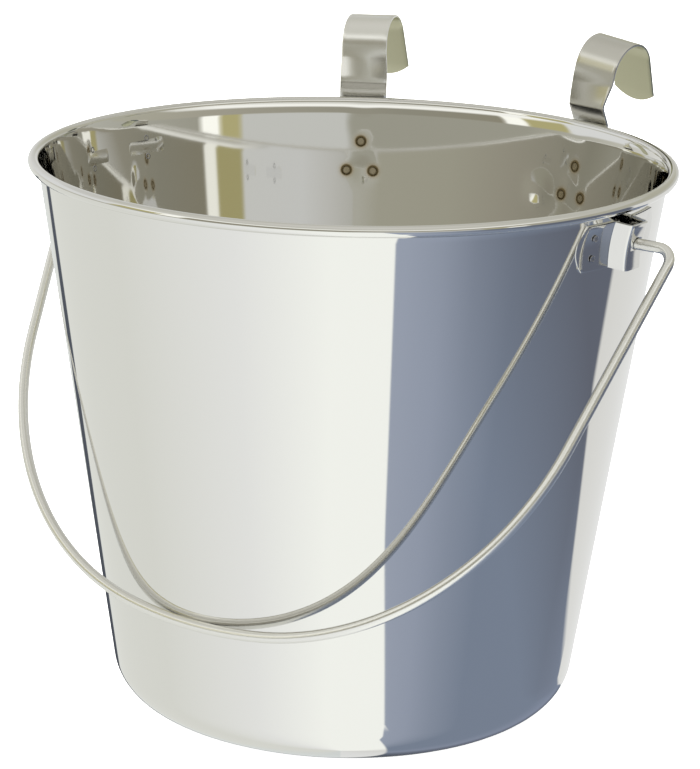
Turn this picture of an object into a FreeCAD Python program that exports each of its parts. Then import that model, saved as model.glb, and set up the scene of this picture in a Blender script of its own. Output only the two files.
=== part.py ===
import FreeCAD, Part
import math
import os
from FreeCAD import Matrix, Placement, Vector

# Hook-over stainless steel feed bucket, in millimetres.
# +Z is up, the origin is the middle of the flat base, and +Y points to the fence that the
# two hooks hang on. The bail turns about X through the ears on the left and right.

# Shell: deep-drawn tapered bucket with its rim curled outwards into a bead
rim_radius = 146.0
base_radius = 108.5
rim_height = 259.0
base_corner_radius = 20.0
sheet = 0.8
bead_radius = 2.6
bead_sweep = 300.0

# Bail: one bent wire, its ends turned in through the ears and headed
wire_radius = 2.5
pivot_drop = 16.5
bail_top_half_width = 170.0
bail_leg_lean = 10.0
bail_depth = 214.5
bail_bottom_radius = 230.0
bail_side_radius = 140.0
bail_end_bend_radius = 7.0
bail_head_radius = 4.4
bail_head_thickness = 2.4
bail_head_half_gap = 146.6
bail_sideways = 2.0
bail_wall_gap = 0.3

# Ears: hat-shaped strips spot-welded to the wall
ear_sheet = 1.2
ear_height = 21.0
ear_stand_off = 9.3
ear_face_half_width = 6.0
ear_foot_half_width = 8.2
ear_bend_radius = 1.8
ear_flange_reach = 31.0
ear_end_rise = 4.5
ear_hole_clearance = 0.4

# Hooks: flat strips, stepped over the bead and curled outwards
strap_width = 24.0
strap_sheet = 1.2
strap_end_rise = 4.8
hook_foot_drop = 44.0
hook_step_low = -8.5
hook_step_high = 10.0
hook_step_out = 5.4
hook_step_half_height = 2.4
hook_upright_out = 1.6
hook_twist_height = 12.0
hook_curl_start = 29.0
hook_curl_radius = 15.2
hook_curl_sweep = 150.0
hook_tip_length = 26.0
hook_bend_radius = 2.0
# Each hook's place round the rim from +Y, its turn towards the other hook, and the lean of its
# foot and of its curl
hook_settings = {"left": (-34.0, 17.0, 1.0, 0.0), "right": (14.9, -11.0, -1.0, 5.5)}

# Spot welds
hook_weld_radius = 2.4
hook_weld_places = ((0.0, -20.0), (-6.8, -35.0), (6.8, -35.0))
ear_weld_radius = 1.4
ear_weld_reach = 20.5
ear_weld_rise = 4.6
weld_dimple = 0.12

taper = math.atan((rim_radius - base_radius) / rim_height)
pivot_height = rim_height - pivot_drop


def wall_radius(height):
    """Outer radius of the wall at a height."""
    return base_radius + math.tan(taper) * height


def frame_at(origin, x_axis, y_axis, z_axis):
    """Placement whose own axes are the three given directions."""
    return Placement(Matrix(
        x_axis.x, y_axis.x, z_axis.x, origin.x,
        x_axis.y, y_axis.y, z_axis.y, origin.y,
        x_axis.z, y_axis.z, z_axis.z, origin.z,
        0, 0, 0, 1))


def wall_frame(degrees_from_y, height):
    """Frame on the wall's outside: x along the wall to the right as seen from inside,
    y outwards square to the wall, z up the wall's slope."""
    turn = math.radians(degrees_from_y)
    level = Vector(math.sin(turn), math.cos(turn), 0)
    along = Vector(math.cos(turn), -math.sin(turn), 0)
    out = level * math.cos(taper) - Vector(0, 0, math.sin(taper))
    up = level * math.sin(taper) + Vector(0, 0, math.cos(taper))
    return frame_at(level * wall_radius(height) + Vector(0, 0, height), along, out, up)


def turned(frame, axis, degrees, centre=Vector(0, 0, 0)):
    """The frame turned about one of its own axes."""
    return frame.multiply(Placement(Vector(0, 0, 0), FreeCAD.Rotation(axis, degrees), centre))


def arc_through(centre, radius, start, end, point):
    """Arc between two angles in degrees, with point(u, v) giving its plane."""
    spots = []
    for angle in (start, (start + end) / 2, end):
        turn = math.radians(angle)
        spots.append(point(centre[0] + radius * math.cos(turn), centre[1] + radius * math.sin(turn)))
    return Part.Arc(*spots).toShape()


def strip_face(corners, bend_radius, thickness, point):
    """Side view of a bent strip: straight runs through the corners, with round bends."""
    runs = []
    for first, last in zip(corners[:-1], corners[1:]):
        length = math.dist(first, last)
        runs.append(((last[0] - first[0]) / length, (last[1] - first[1]) / length))
    edges_by_side = []
    ends_by_side = []
    for side in (thickness / 2, -thickness / 2):
        edges = []
        spot = (corners[0][0] - runs[0][1] * side, corners[0][1] + runs[0][0] * side)
        ends = [spot]
        for corner, before, after in zip(corners[1:-1], runs[:-1], runs[1:]):
            turn = math.atan2(before[0] * after[1] - before[1] * after[0],
                              before[0] * after[0] + before[1] * after[1])
            way = math.copysign(1, turn)
            setback = bend_radius * math.tan(abs(turn) / 2)
            start = (corner[0] - before[0] * setback, corner[1] - before[1] * setback)
            centre = (start[0] - before[1] * way * bend_radius, start[1] + before[0] * way * bend_radius)
            radius = bend_radius - way * side
            angle = math.degrees(math.atan2(start[1] - centre[1], start[0] - centre[0]))
            finish = angle + math.degrees(turn)
            arc_start = (centre[0] + radius * math.cos(math.radians(angle)),
                         centre[1] + radius * math.sin(math.radians(angle)))
            arc_end = (centre[0] + radius * math.cos(math.radians(finish)),
                       centre[1] + radius * math.sin(math.radians(finish)))
            edges.append(Part.makeLine(point(*spot), point(*arc_start)))
            edges.append(arc_through(centre, radius, angle, finish, point))
            spot = arc_end
        finish = (corners[-1][0] - runs[-1][1] * side, corners[-1][1] + runs[-1][0] * side)
        edges.append(Part.makeLine(point(*spot), point(*finish)))
        ends.append(finish)
        edges_by_side.append(edges)
        ends_by_side.append(ends)
    caps = [Part.makeLine(point(*ends_by_side[0][i]), point(*ends_by_side[1][i])) for i in (0, 1)]
    outline = Part.__sortEdges__(edges_by_side[0] + edges_by_side[1] + caps)
    return Part.Face(Part.Wire(outline))


def side_view(u, v):
    """Point of a profile drawn in the YZ plane."""
    return Vector(0, u, v)


def front_view(u, v):
    """Point of a profile drawn in the XZ plane."""
    return Vector(u, 0, v)


def top_view(u, v):
    """Point of a profile drawn in the XY plane."""
    return Vector(u, v, 0)


def place(shape, frame):
    """The shape moved from its own axes to a frame."""
    moved = shape.copy()
    moved.Placement = frame.multiply(shape.Placement)
    return moved


def revolved(profile):
    """Solid of revolution about Z from edges in the XZ plane."""
    face = Part.Face(Part.Wire(Part.__sortEdges__(profile)))
    return face.revolve(Vector(0, 0, 0), Vector(0, 0, 1), 360)


def wall_layer(inner, outer, low, high):
    """Ring of the cone between two distances outside the wall."""
    edges = []
    spots = []
    for gap, height in ((inner, low), (outer, low), (outer, high), (inner, high)):
        spots.append(Vector(wall_radius(height) + gap / math.cos(taper), 0, height))
    for first, last in zip(spots, spots[1:] + spots[:1]):
        edges.append(Part.makeLine(first, last))
    return revolved(edges)


def solid_cone():
    """Everything inside the wall's outer face, to trim what is pressed against it."""
    top = rim_height + bead_radius
    return Part.makeCone(base_radius, wall_radius(top), top)


def bucket_shell():
    """Base, corner, wall and curled rim as one revolved sheet."""
    out = (math.cos(taper), -math.sin(taper))
    up = (math.sin(taper), math.cos(taper))
    corner_x = base_radius - base_corner_radius * (1 - math.sin(taper)) / math.cos(taper)
    corner = (corner_x, base_corner_radius)
    wall_angle = -math.degrees(taper)
    top = (rim_radius, rim_height)
    curl = (top[0] + out[0] * (bead_radius - sheet), top[1] + out[1] * (bead_radius - sheet))
    curl_start = 180 + wall_angle
    curl_end = curl_start - bead_sweep

    def on_circle(centre, radius, degrees):
        turn = math.radians(degrees)
        return front_view(centre[0] + radius * math.cos(turn), centre[1] + radius * math.sin(turn))

    edges = [Part.makeLine(front_view(0, 0), front_view(corner_x, 0))]
    edges.append(arc_through(corner, base_corner_radius, -90, wall_angle, front_view))
    edges.append(Part.makeLine(on_circle(corner, base_corner_radius, wall_angle), front_view(*top)))
    edges.append(arc_through(curl, bead_radius - sheet, curl_start, curl_end, front_view))
    edges.append(Part.makeLine(on_circle(curl, bead_radius - sheet, curl_end),
                               on_circle(curl, bead_radius, curl_end)))
    edges.append(arc_through(curl, bead_radius, curl_end, curl_start, front_view))
    inner_radius = base_corner_radius - sheet
    edges.append(Part.makeLine(on_circle(curl, bead_radius, curl_start),
                               on_circle(corner, inner_radius, wall_angle)))
    edges.append(arc_through(corner, inner_radius, wall_angle, -90, front_view))
    edges.append(Part.makeLine(front_view(corner_x, sheet), front_view(0, sheet)))
    edges.append(Part.makeLine(front_view(0, sheet), front_view(0, 0)))
    return revolved(edges)


def rounded_end(length, width, rise):
    """Outline of a strip along +X from 0, whose far end is cut to a shallow arc."""
    half = width / 2
    shoulder = length - rise
    edges = [
        Part.makeLine(front_view(0, -half), front_view(shoulder, -half)),
        Part.Arc(front_view(shoulder, -half), front_view(length, 0), front_view(shoulder, half)).toShape(),
        Part.makeLine(front_view(shoulder, half), front_view(0, half)),
        Part.makeLine(front_view(0, half), front_view(0, -half)),
    ]
    return Part.Face(Part.Wire(edges))


def ear(side):
    """Hat-shaped ear on one side (+1 is +X): a box bent out of the strip, flanges on the wall."""
    frame = wall_frame(90.0 * side, pivot_height)
    middle = ear_sheet / 2
    foot_depth = -1.5
    corners = [(-ear_foot_half_width, foot_depth), (-ear_face_half_width, ear_stand_off - middle),
               (ear_face_half_width, ear_stand_off - middle), (ear_foot_half_width, foot_depth)]
    box = strip_face(corners, ear_bend_radius, ear_sheet, top_view)
    box = box.extrude(Vector(0, 0, ear_height))
    box.translate(Vector(0, 0, -ear_height / 2))
    box = place(box, frame)
    layer = wall_layer(0, ear_sheet, pivot_height - ear_height, pivot_height + ear_height)
    shape = box
    for way in (1, -1):
        flange = rounded_end(ear_flange_reach, ear_height, ear_end_rise)
        flange = flange.extrude(Vector(0, 20, 0))
        flange.translate(Vector(0, -10, 0))
        start = ear_foot_half_width - ear_sheet
        flange = flange.cut(Part.makeBox(start, 40, 2 * ear_height, Vector(0, -20, -ear_height)))
        if way < 0:
            flange = flange.mirror(Vector(0, 0, 0), Vector(1, 0, 0))
        shape = shape.fuse(place(flange, frame).common(layer))
    hole = Part.makeCylinder(wire_radius + ear_hole_clearance, 3 * ear_stand_off,
                             Vector(side * (wall_radius(pivot_height) + 2), 0, pivot_height),
                             Vector(side, 0, 0))
    return shape.cut(solid_cone()).cut(hole).removeSplitter()


def hook(place_degrees, turn_degrees, foot_lean, curl_lean):
    """Strip that is welded to the wall, steps round the bead, twists and curls outwards."""
    upright = wall_frame(place_degrees, rim_height)
    frame = turned(upright, Vector(0, 1, 0), foot_lean)
    middle = strap_sheet / 2
    half = strap_width / 2

    shoulder = hook_step_half_height
    corners = [(middle, -hook_foot_drop + strap_end_rise), (middle, hook_step_low),
               (hook_step_out + middle, -shoulder), (hook_step_out + middle, shoulder),
               (hook_upright_out, hook_step_high), (hook_upright_out, hook_step_high + 2)]
    stem = strip_face(corners, hook_bend_radius, strap_sheet, side_view)
    stem = stem.extrude(Vector(strap_width, 0, 0))
    stem.translate(Vector(-half, 0, 0))
    foot = rounded_end(strap_end_rise + 1, strap_width, strap_end_rise)
    foot = foot.extrude(Vector(0, strap_sheet, 0))
    foot.rotate(Vector(0, 0, 0), Vector(0, 1, 0), 90)
    foot.translate(Vector(0, 0, -hook_foot_drop + strap_end_rise + 1))
    stem = stem.fuse(foot)
    backing = Part.makeBox(strap_width, 1.0, hook_foot_drop + hook_step_low - strap_end_rise,
                           Vector(-half, -0.9, -hook_foot_drop + strap_end_rise))
    stem = stem.fuse(backing)

    twist_start = hook_step_high + 2
    axis_point = Vector(0, hook_upright_out, 0)
    curl_frame = turned(turned(upright, Vector(0, 1, 0), curl_lean), Vector(0, 0, 1), -turn_degrees,
                        axis_point)
    steps = 4
    sections = []
    for i in range(steps + 1):
        share = i / steps
        level = twist_start + hook_twist_height * share
        lean = foot_lean + (curl_lean - foot_lean) * share
        section_frame = turned(turned(upright, Vector(0, 1, 0), lean), Vector(0, 0, 1),
                               -turn_degrees * share, axis_point)
        low, high = hook_upright_out - middle, hook_upright_out + middle
        spots = [Vector(-half, low, level), Vector(half, low, level),
                 Vector(half, high, level), Vector(-half, high, level)]
        section = Part.makePolygon(spots + spots[:1])
        sections.append(place(section, section_frame))
    twist = Part.makeLoft(sections, True, False)

    curl_centre = (hook_upright_out + hook_curl_radius, hook_curl_start)
    end_angle = 180 - hook_curl_sweep
    run = Part.makeBox(strap_width, strap_sheet, hook_curl_start - twist_start - hook_twist_height,
                       Vector(-half, hook_upright_out - middle, twist_start + hook_twist_height))
    bands = []
    for radius in (hook_curl_radius - middle, hook_curl_radius + middle):
        bands.append(arc_through(curl_centre, radius, 180, end_angle, side_view))
    starts = [band.valueAt(band.FirstParameter) for band in bands]
    ends = [band.valueAt(band.LastParameter) for band in bands]
    outline = bands + [Part.makeLine(*starts), Part.makeLine(*ends)]
    curl = Part.Face(Part.Wire(Part.__sortEdges__(outline))).extrude(Vector(strap_width, 0, 0))
    curl.translate(Vector(-half, 0, 0))

    tip = rounded_end(hook_tip_length, strap_width, strap_end_rise)
    tip = tip.extrude(Vector(0, strap_sheet, 0))
    tip.translate(Vector(0, -middle, 0))
    tip.rotate(Vector(0, 0, 0), Vector(0, 1, 0), 90)
    tip.rotate(Vector(0, 0, 0), Vector(1, 0, 0), end_angle)
    turn = math.radians(end_angle)
    tip.translate(Vector(0, curl_centre[0] + hook_curl_radius * math.cos(turn),
                         curl_centre[1] + hook_curl_radius * math.sin(turn)))

    shape = place(stem, frame).cut(solid_cone()).fuse(twist)
    for piece in (run, curl, tip):
        shape = shape.fuse(place(piece, curl_frame))
    return shape.removeSplitter()


def weld_nugget(frame, x, z, radius, cover):
    """Fused metal of one spot weld: through the sheet and the strip, dimpled on the inside."""
    sagitta = x * x / (2 * wall_radius(rim_height))
    bottom = -sheet - sagitta + weld_dimple
    cylinder = Part.makeCylinder(radius, cover - bottom, Vector(x, bottom, z), Vector(0, 1, 0))
    return place(cylinder, frame)


def hook_welds(place_degrees, lean_degrees):
    """The three spot welds of one hook."""
    frame = turned(wall_frame(place_degrees, rim_height), Vector(0, 1, 0), lean_degrees)
    return [weld_nugget(frame, x, z, hook_weld_radius, strap_sheet) for x, z in hook_weld_places]


def ear_welds(side):
    """Two spot welds in each flange of one ear."""
    welds = []
    for way in (1, -1):
        offset = math.degrees(way * ear_weld_reach / wall_radius(pivot_height))
        frame = wall_frame(90.0 * side + offset, pivot_height)
        for rise in (-ear_weld_rise, ear_weld_rise):
            welds.append(weld_nugget(frame, 0, rise, ear_weld_radius, ear_sheet))
    return welds


def bail_tilt():
    """Angle from vertical at which the hanging bail's middle rests on the front wall."""
    low, high = 0.0, math.radians(80)
    for _ in range(60):
        tilt = (low + high) / 2
        height = pivot_height - bail_depth * math.cos(tilt)
        touch = wall_radius(height) + (wire_radius + bail_wall_gap) / math.cos(taper)
        if bail_depth * math.sin(tilt) < touch:
            low = tilt
        else:
            high = tilt
    return (low + high) / 2


def bail():
    """Wire bail, drawn flat in XZ below the pivot, then tilted forwards to its rest."""
    lean = math.radians(bail_leg_lean)
    bottom_centre = (0.0, bail_bottom_radius - bail_depth)
    reach = bail_bottom_radius - bail_side_radius
    leg_line = bail_top_half_width * math.cos(lean) - bail_side_radius
    spread = math.asin((leg_line + bottom_centre[1] * math.sin(lean)) / reach) - lean
    side_centre = (reach * math.sin(spread), bottom_centre[1] - reach * math.cos(spread))

    bend = bail_end_bend_radius
    bend_x = bail_top_half_width - bend * math.tan(lean) - bend / math.cos(lean)
    right = [Part.makeLine(front_view(bail_head_half_gap, 0), front_view(bend_x, 0))]
    right.append(arc_through((bend_x, -bend), bend, 90, -bail_leg_lean, front_view))
    leg_top = right[-1].valueAt(right[-1].LastParameter)
    side_arc = arc_through(side_centre, bail_side_radius, -bail_leg_lean,
                           -90 + math.degrees(spread), front_view)
    right.append(Part.makeLine(leg_top, side_arc.valueAt(side_arc.FirstParameter)))
    right.append(side_arc)
    spread_degrees = math.degrees(spread)
    bottom = arc_through(bottom_centre, bail_bottom_radius, -90 + spread_degrees,
                         -90 - spread_degrees, front_view)
    left = [edge.mirror(Vector(0, 0, 0), Vector(1, 0, 0)) for edge in right]
    path = Part.Wire(Part.__sortEdges__(right + [bottom] + left))

    start = front_view(bail_head_half_gap, 0)
    section = Part.Wire(Part.makeCircle(wire_radius, start, Vector(1, 0, 0)))
    pipe = Part.BRepOffsetAPI.MakePipeShell(path)
    pipe.setFrenetMode(True)
    pipe.add(section, False, False)
    pipe.build()
    pipe.makeSolid()
    shape = pipe.shape()
    for side in (1, -1):
        head = Part.makeCylinder(bail_head_radius, bail_head_thickness,
                                 front_view(side * bail_head_half_gap, 0), Vector(side, 0, 0))
        head = head.makeFillet(0.7, head.Edges)
        shape = shape.fuse(head)
    shape = shape.removeSplitter()
    shape.rotate(Vector(0, 0, 0), Vector(1, 0, 0), -math.degrees(bail_tilt()))
    shape.translate(Vector(bail_sideways, 0, pivot_height))
    return shape


def single(shape):
    """The one solid in a shape, so that a boolean's wrapper isn't exported."""
    assert len(shape.Solids) == 1, len(shape.Solids)
    return shape.Solids[0]


shell = bucket_shell()
nodes = {"bail_handle": single(bail())}
for name, side in (("left", -1), ("right", 1)):
    degrees, turn, foot_lean, curl_lean = hook_settings[name]
    strap = hook(degrees, turn, foot_lean, curl_lean)
    bracket = ear(side)
    welds = {"hook": hook_welds(degrees, foot_lean), "ear": ear_welds(side)}
    for nugget in welds["hook"]:
        strap = strap.cut(nugget)
    for nugget in welds["ear"]:
        bracket = bracket.cut(nugget)
    for kind, nuggets in welds.items():
        for nugget in nuggets:
            shell = shell.cut(nugget)
        nodes[f"{kind}_{name}_welds"] = Part.makeCompound(nuggets)
    nodes[f"hook_{name}"] = single(strap)
    nodes[f"ear_{name}"] = single(bracket)
nodes["bucket_body"] = single(shell)

os.makedirs("parts", exist_ok=True)
for name, shape in nodes.items():
    assert shape.isValid(), name
    shape.exportStep(os.path.join("parts", name + ".step"))
    box = shape.BoundBox
    print(f"{name:18} volume {shape.Volume / 1000:9.2f} cm3  box "
          f"{box.XMin:.1f} {box.YMin:.1f} {box.ZMin:.1f} to {box.XMax:.1f} {box.YMax:.1f} {box.ZMax:.1f}")
print(f"bail rests {math.degrees(bail_tilt()):.2f} degrees from vertical")
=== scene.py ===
import math
import bpy
from mathutils import Matrix, Vector


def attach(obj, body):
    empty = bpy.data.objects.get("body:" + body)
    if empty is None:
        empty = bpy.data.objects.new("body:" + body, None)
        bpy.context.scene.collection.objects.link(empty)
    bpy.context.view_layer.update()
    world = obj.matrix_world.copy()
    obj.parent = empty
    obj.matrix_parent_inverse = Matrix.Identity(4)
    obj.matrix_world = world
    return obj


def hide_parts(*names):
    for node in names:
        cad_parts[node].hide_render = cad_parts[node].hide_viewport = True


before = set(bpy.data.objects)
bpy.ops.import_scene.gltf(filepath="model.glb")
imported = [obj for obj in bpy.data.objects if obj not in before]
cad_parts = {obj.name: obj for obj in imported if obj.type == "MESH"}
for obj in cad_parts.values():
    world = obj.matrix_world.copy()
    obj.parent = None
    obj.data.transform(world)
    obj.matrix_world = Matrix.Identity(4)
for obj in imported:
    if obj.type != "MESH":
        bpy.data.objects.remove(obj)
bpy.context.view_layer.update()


# ---- The shell -------------------------------------------------------------------------------
# The bucket itself: one disc of 0.8 mm stainless sheet, deep drawn to a cone with a round corner
# at its flat base, buffed to a mirror on both sides, its rim curled outwards over a former.
rim_radius = 0.146
base_radius = 0.1085
rim_height = 0.259
base_corner_radius = 0.020
sheet = 0.0008
bead_radius = 0.0026
bead_sweep = math.radians(300)
taper = math.atan((rim_radius - base_radius) / rim_height)
shell_segments = 480
roll_height = 0.006
roll_slope = 0.30
roll_fade_start = -0.02
roll_fade_length = 0.06
merge_distance = 2e-6


def new_piece(name):
    """Names the primitive that was just added and opens it in edit mode with nothing selected."""
    piece = bpy.context.object
    piece.name = name
    piece.data.name = name
    bpy.ops.object.mode_set(mode="EDIT")
    bpy.ops.mesh.select_all(action="DESELECT")
    return piece


def choose(piece, test):
    """Selects the vertices whose place passes the test, and what lies between them."""
    bpy.ops.object.mode_set(mode="OBJECT")
    mesh = piece.data
    for vertex in mesh.vertices:
        vertex.select = bool(test(vertex.co))
    for edge in mesh.edges:
        edge.select = all(mesh.vertices[i].select for i in edge.vertices)
    for face in mesh.polygons:
        face.select = all(mesh.vertices[i].select for i in face.vertices)
    bpy.ops.object.mode_set(mode="EDIT")


def close_up(piece):
    """Merges doubles, turns all faces outwards and leaves edit mode."""
    bpy.ops.mesh.select_all(action="SELECT")
    bpy.ops.mesh.remove_doubles(threshold=merge_distance)
    bpy.ops.mesh.normals_make_consistent(inside=False)
    bpy.ops.object.mode_set(mode="OBJECT")


def only(piece):
    """Makes one object the selected and active one."""
    bpy.ops.object.select_all(action="DESELECT")
    piece.select_set(True)
    bpy.context.view_layer.objects.active = piece


def settle(piece, place=None):
    """Moves a piece to its place and puts the place in its mesh, so its object is at the origin."""
    only(piece)
    if place is not None:
        piece.matrix_world = place @ piece.matrix_world
    bpy.ops.object.transform_apply(location=True, rotation=True, scale=True)


def round_the_circle(centre, radius, start, sweep, steps):
    """Spots on an arc in the XZ plane, its start left out."""
    spots = []
    for i in range(1, steps + 1):
        angle = start + sweep * i / steps
        x = centre[0] + radius * math.cos(angle)
        spots.append(Vector((x, 0, centre[1] + radius * math.sin(angle))))
    return spots


def along_the_line(start, end, steps):
    """Spots on a straight run, its start left out."""
    return [start.lerp(end, i / steps) for i in range(1, steps + 1)]


def shell_profile():
    """Half section of the sheet, from the middle of the base's underside round to the inside."""
    curl_radius = bead_radius - sheet
    curl = (rim_radius + math.cos(taper) * curl_radius, rim_height - math.sin(taper) * curl_radius)
    corner = (base_radius - base_corner_radius * (1 - math.sin(taper)) / math.cos(taper),
              base_corner_radius)
    curl_start = math.pi - taper
    spots = [Vector((0, 0, 0))]
    spots += along_the_line(spots[-1], Vector((corner[0], 0, 0)), 6)
    spots += round_the_circle(corner, base_corner_radius, -math.pi / 2, math.pi / 2 - taper, 14)
    spots += along_the_line(spots[-1], Vector((rim_radius, 0, rim_height)), 40)
    spots += round_the_circle(curl, curl_radius, curl_start, -bead_sweep, 14)
    spots += round_the_circle(curl, bead_radius, curl_start - bead_sweep, bead_sweep, 26)
    inner_corner_radius = base_corner_radius - sheet
    wall_foot = round_the_circle(corner, inner_corner_radius, -taper, 0.0, 1)[0]
    spots += along_the_line(spots[-1], wall_foot, 70)
    spots += round_the_circle(corner, inner_corner_radius, -taper, taper - math.pi / 2, 12)
    spots += along_the_line(spots[-1], Vector((0, 0, sheet)), 6)
    return spots


bpy.ops.object.select_all(action="DESELECT")
bpy.ops.mesh.primitive_plane_add(size=0.002, location=(0, 0, 0))
shell = new_piece("bucket_shell")
choose(shell, lambda co: co.x > 0 or co.y > 0)
bpy.ops.mesh.delete(type="VERT")
choose(shell, lambda co: True)
bpy.ops.transform.translate(value=(0.001, 0.001, 0))
profile = shell_profile()
for before, after in zip(profile[:-1], profile[1:]):
    bpy.ops.mesh.extrude_vertices_move(TRANSFORM_OT_translate={"value": after - before})
bpy.ops.mesh.select_all(action="SELECT")
bpy.ops.mesh.spin(steps=shell_segments, angle=2 * math.pi, center=(0, 0, 0), axis=(0, 0, 1))
close_up(shell)


def wall_frame(degrees_from_y, height, lean=0.0):
    """Axes on the wall's outside: x along the wall, y square out of it, z up its slope."""
    turn = math.radians(degrees_from_y)
    level = Vector((math.sin(turn), math.cos(turn), 0))
    along = Vector((math.cos(turn), -math.sin(turn), 0))
    out = level * math.cos(taper) - Vector((0, 0, math.sin(taper)))
    up = level * math.sin(taper) + Vector((0, 0, math.cos(taper)))
    spot = level * (base_radius + math.tan(taper) * height) + Vector((0, 0, height))
    axes = Matrix((along, out, up)).transposed().to_4x4()
    return Matrix.Translation(spot) @ axes @ Matrix.Rotation(math.radians(lean), 4, "Y")


# Each hook's place round the rim from +Y, its turn towards the other hook, and the lean of its
# foot and of its curl, all in degrees
hook_settings = {"left": (-34.0, 17.0, 1.0, 0.0), "right": (14.9, -11.0, -1.0, 5.5)}
hook_weld_places = ((0.0, -0.020), (-0.0068, -0.035), (0.0068, -0.035))
hook_frames = {side: wall_frame(degrees, rim_height, foot_lean)
               for side, (degrees, _, foot_lean, _) in hook_settings.items()}


def rim_gap(x):
    """How far the wall at the rim falls away from its tangent at x."""
    return x * x / (2 * rim_radius)


hook_weld_spots = {side: [place @ Vector((x, -sheet - rim_gap(x), z)) for x, z in hook_weld_places]
                   for side, place in hook_frames.items()}

# The heat and squeeze of the welds leave the sheet round them pulled out of true: each dent is
# (place along the foot, height from the rim, push outwards, reach)
weld_dents = {"left": ((0.001, -0.034, -0.00050, 0.0090), (0.000, -0.010, -0.00025, 0.0110)),
              "right": ((-0.023, -0.034, 0.00110, 0.0120), (-0.003, -0.027, 0.00035, 0.0070),
                        (0.001, -0.041, -0.00040, 0.0090), (-0.001, -0.010, -0.00020, 0.0110))}
weld_squeeze, weld_squeeze_reach = -0.00009, 0.0055
only(shell)
bpy.ops.object.mode_set(mode="EDIT")
for side, place in hook_frames.items():
    out = (place.to_3x3() @ Vector((0, 1, 0))).normalized()
    dents = [(place @ Vector((x, -rim_gap(x), z)), push, reach)
             for x, z, push, reach in weld_dents[side]]
    dents += [(weld, weld_squeeze, weld_squeeze_reach) for weld in hook_weld_spots[side]]
    for spot, push, reach in dents:
        nearest = min((vertex.co - spot).length for vertex in shell.data.vertices)
        choose(shell, lambda co: (co - spot).length <= nearest + 1e-7)
        bpy.ops.transform.translate(value=out * push, use_proportional_edit=True,
                                    proportional_edit_falloff="SMOOTH", proportional_size=reach)
bpy.ops.object.mode_set(mode="OBJECT")
only(shell)
bpy.ops.object.shade_smooth()


def node_group(name, inputs, outputs):
    """An empty shader node group with its sockets; inputs map a name to (type, default)."""
    group = bpy.data.node_groups.new(name, "ShaderNodeTree")
    for label, (kind, default) in inputs.items():
        socket = group.interface.new_socket(label, in_out="INPUT", socket_type=kind)
        socket.default_value = default
    for label, kind in outputs.items():
        group.interface.new_socket(label, in_out="OUTPUT", socket_type=kind)
    return group, group.nodes.new("NodeGroupInput"), group.nodes.new("NodeGroupOutput")


def maths(tree, operation, first, second=None):
    """A Math node; each operand is a socket or a number."""
    node = tree.nodes.new("ShaderNodeMath")
    node.operation = operation
    for slot, value in zip(node.inputs, (first, second)):
        if isinstance(value, (int, float)):
            slot.default_value = value
        elif value is not None:
            tree.links.new(value, slot)
    return node.outputs[0]


def ramp(tree, factor, stops, interpolation="LINEAR"):
    """A ColorRamp node with stops of (place, grey or colour)."""
    node = tree.nodes.new("ShaderNodeValToRGB")
    node.color_ramp.interpolation = interpolation
    while len(node.color_ramp.elements) < len(stops):
        node.color_ramp.elements.new(1.0)
    for element, (place, colour) in zip(node.color_ramp.elements, stops):
        element.position = place
        element.color = (*colour, 1) if isinstance(colour, tuple) else (colour, colour, colour, 1)
    tree.links.new(factor, node.inputs["Fac"])
    return node.outputs["Color"]


# Buffing marks, cloudy and drawn out along one direction, for every polished or drawn steel face
buffing, inside, outside = node_group(
    "buffing_marks",
    {"Vector": ("NodeSocketVector", (0, 0, 0)), "Stretch": ("NodeSocketVector", (1, 1, 1)),
     "Roughness": ("NodeSocketFloat", 0.05), "Spread": ("NodeSocketFloat", 0.02)},
    {"Roughness": "NodeSocketFloat", "Height": "NodeSocketFloat"})
stretched = buffing.nodes.new("ShaderNodeVectorMath")
stretched.operation = "MULTIPLY"
buffing.links.new(inside.outputs["Vector"], stretched.inputs[0])
buffing.links.new(inside.outputs["Stretch"], stretched.inputs[1])
marks = buffing.nodes.new("ShaderNodeTexNoise")
marks.inputs["Scale"].default_value = 1.0
marks.inputs["Detail"].default_value = 5.0
marks.inputs["Roughness"].default_value = 0.65
buffing.links.new(stretched.outputs[0], marks.inputs["Vector"])
centred = maths(buffing, "SUBTRACT", marks.outputs["Fac"], 0.5)
widened = maths(buffing, "MULTIPLY", centred, inside.outputs["Spread"])
spread_out = maths(buffing, "ADD", widened, inside.outputs["Roughness"])
buffing.links.new(spread_out, outside.inputs["Roughness"])
buffing.links.new(marks.outputs["Fac"], outside.inputs["Height"])

# Straw to brown oxide left in rings by the heat of a spot weld
heat_tint, inside, outside = node_group(
    "heat_tint",
    {"Distance": ("NodeSocketFloat", 1.0), "Size": ("NodeSocketFloat", 0.0024),
     "Steel": ("NodeSocketColor", (0.8, 0.8, 0.8, 1))},
    {"Color": "NodeSocketColor", "Mask": "NodeSocketFloat"})
share = maths(heat_tint, "DIVIDE", inside.outputs["Distance"], inside.outputs["Size"])
share = maths(heat_tint, "MULTIPLY", share, 0.4)
straw_middle, straw_edge, brown_ring = (0.42, 0.36, 0.25), (0.45, 0.38, 0.26), (0.13, 0.10, 0.05)
brown_edge, straw_ring, clean_edge = (0.20, 0.15, 0.07), (0.62, 0.50, 0.33), (0.78, 0.74, 0.66)
tint = ramp(heat_tint, share, [(0.0, straw_middle), (0.22, straw_edge), (0.33, brown_ring),
                               (0.44, brown_edge), (0.55, straw_ring), (0.80, clean_edge)])
strength = ramp(heat_tint, share, [(0.0, 0.9), (0.45, 1.0), (0.58, 0.45), (0.95, 0.0)])
mix = heat_tint.nodes.new("ShaderNodeMix")
mix.data_type = "RGBA"
heat_tint.links.new(strength, mix.inputs[0])
heat_tint.links.new(inside.outputs["Steel"], mix.inputs[6])
heat_tint.links.new(tint, mix.inputs[7])
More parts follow.
